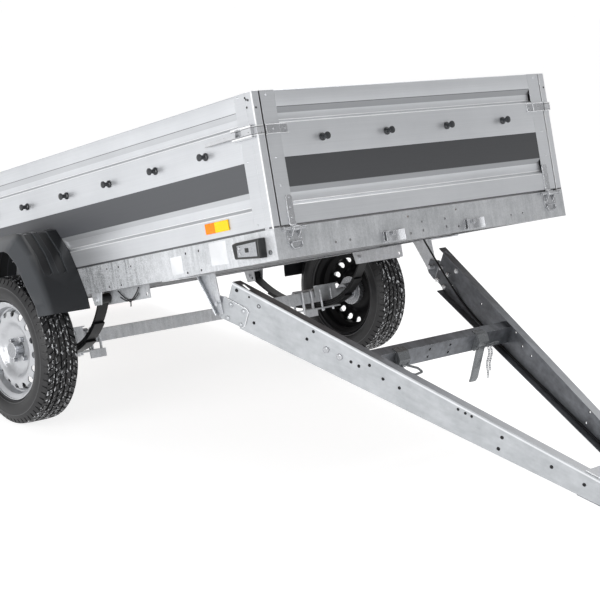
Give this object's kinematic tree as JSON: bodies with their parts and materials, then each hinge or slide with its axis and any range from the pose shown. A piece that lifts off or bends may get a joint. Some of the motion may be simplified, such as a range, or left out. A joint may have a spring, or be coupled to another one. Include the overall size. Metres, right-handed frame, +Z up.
{
  "type": "utility trailer",
  "caption": "Tipping box trailer on one sprung axle, ribbed boards that fold down front and rear, V drawbar and ball coupling.",
  "frame": {"origin": "on the ground, midway along the trailer as it stands, on its centreline", "axes": "+X forward towards the coupling, +Y to the trailer's left, +Z up"},
  "size_m": [3.997, 1.821, 1.3126],
  "materials": {
    "galvanised_steel": "hot-dip galvanised, mottled, satin",
    "zinc_board": "smooth zinc-coated sheet with a dark grey painted stripe",
    "drawbar_zinc": "galvanised channel, satin",
    "bright_zinc": "bright zinc plated fittings",
    "black_spring": "black painted spring steel",
    "plywood": "brown film-faced plywood",
    "black_plastic": "moulded black plastic",
    "clear_lamp": "clear lens in a black frame",
    "orange_reflector": "orange reflector",
    "red_lamp": "red and amber lamp lens",
    "black_cable": "black sheathed cable",
    "tyre": "black rubber",
    "silver_wheel": "silver painted pressed steel",
    "hub_zinc": "galvanised hub and plated bolts"
  },
  "bodies": {
    "chassis": {"side_beam_right": "galvanised_steel", "side_beam_left": "galvanised_steel", "front_beam": "galvanised_steel", "rear_beam": "galvanised_steel", "cross_members": "galvanised_steel", "floor_panel": "plywood", "side_board_right": "zinc_board", "side_board_left": "zinc_board", "corner_posts": "zinc_board", "side_knobs": "black_plastic", "corner_latches": "bright_zinc", "hinge_brackets": "bright_zinc", "tip_catches": "bright_zinc", "axle": "galvanised_steel", "leaf_springs": "black_spring", "spring_hangers": "galvanised_steel", "axle_clamps": "galvanised_steel", "fender_right": "black_plastic", "fender_left": "black_plastic", "fender_brackets": "galvanised_steel", "drawbar_hangers": "galvanised_steel", "marker_lamps": "clear_lamp", "side_reflectors": "orange_reflector", "rear_lamps": "red_lamp"},
    "front_board": {"front_board": "zinc_board", "front_board_straps": "bright_zinc", "front_board_knobs": "black_plastic"},
    "rear_board": {"rear_board": "zinc_board", "rear_board_straps": "bright_zinc", "rear_board_knobs": "black_plastic"},
    "drawbar": {"arm_right": "drawbar_zinc", "arm_left": "drawbar_zinc", "cross_tube": "drawbar_zinc", "hinge_plates": "drawbar_zinc", "nose_plates": "drawbar_zinc", "coupling_head": "bright_zinc", "coupling_handle": "bright_zinc", "tip_latches": "bright_zinc", "wiring_cable": "black_cable", "cable_plug": "black_plastic"},
    "wheel_right": {"tyre_right": "tyre", "rim_right": "silver_wheel", "hub_right": "hub_zinc"},
    "wheel_left": {"tyre_left": "tyre", "rim_left": "silver_wheel", "hub_left": "hub_zinc"}
  },
  "joints": [
    {"name": "tip_hinge", "type": "hinge", "parent": "chassis", "child": "drawbar", "pos_m": [0.24226, 0, 0.55009], "axis": [0, 1, 0], "range_deg": [-34.83, 4]},
    {"name": "front_board_hinge", "type": "hinge", "parent": "chassis", "child": "front_board", "pos_m": [0.7267, 0, 0.8954], "axis": [0, 1, 0], "range_deg": [0, 90]},
    {"name": "rear_board_hinge", "type": "hinge", "parent": "chassis", "child": "rear_board", "pos_m": [-1.88738, 0, 0.14376], "axis": [0, -1, 0], "range_deg": [0, 110]},
    {"name": "wheel_right_spin", "type": "hinge", "parent": "chassis", "child": "wheel_right", "pos_m": [-0.53872, -0.833, 0.2735], "axis": [0, 1, 0], "continuous": true},
    {"name": "wheel_left_spin", "type": "hinge", "parent": "chassis", "child": "wheel_left", "pos_m": [-0.53872, 0.833, 0.2735], "axis": [0, 1, 0], "continuous": true}
  ]
}
